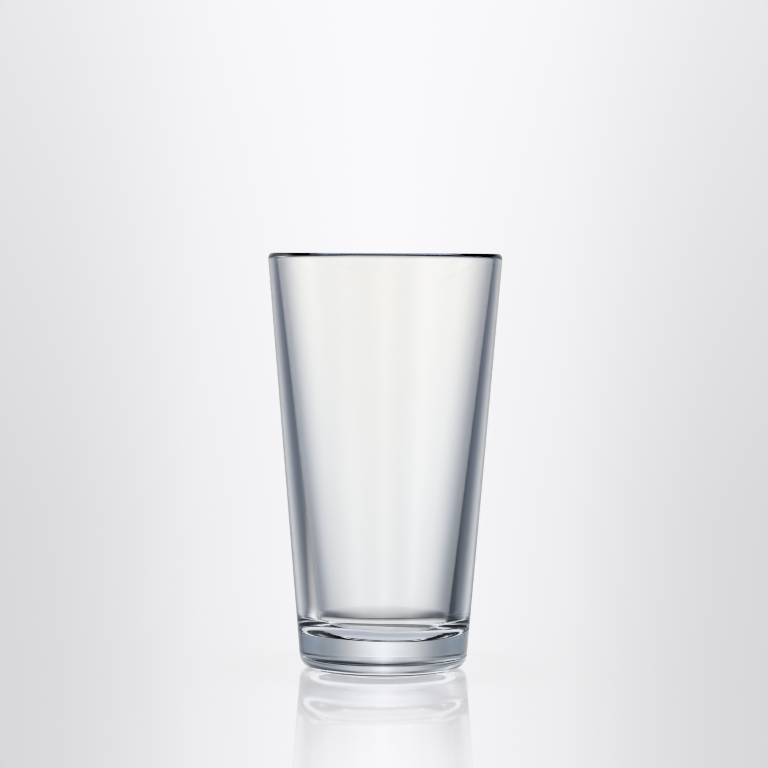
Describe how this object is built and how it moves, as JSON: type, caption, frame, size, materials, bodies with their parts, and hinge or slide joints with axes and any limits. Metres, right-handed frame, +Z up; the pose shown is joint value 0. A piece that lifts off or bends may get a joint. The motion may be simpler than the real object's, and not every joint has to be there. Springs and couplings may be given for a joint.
{
  "type": "mixing glass",
  "caption": "Tall tapered tumbler of clear pressed glass with a thick solid base, for stirring and shaking drinks.",
  "frame": {"origin": "centre of the flat ring that the glass stands on", "axes": "+Z up along the glass's axis, from the base to the rim"},
  "size_m": [0.0866, 0.0866, 0.1536],
  "materials": {
    "clear_glass": "smooth fire-polished clear soda-lime glass"
  },
  "bodies": {
    "root": {"mixing_glass": "clear_glass"}
  },
  "joints": []
}
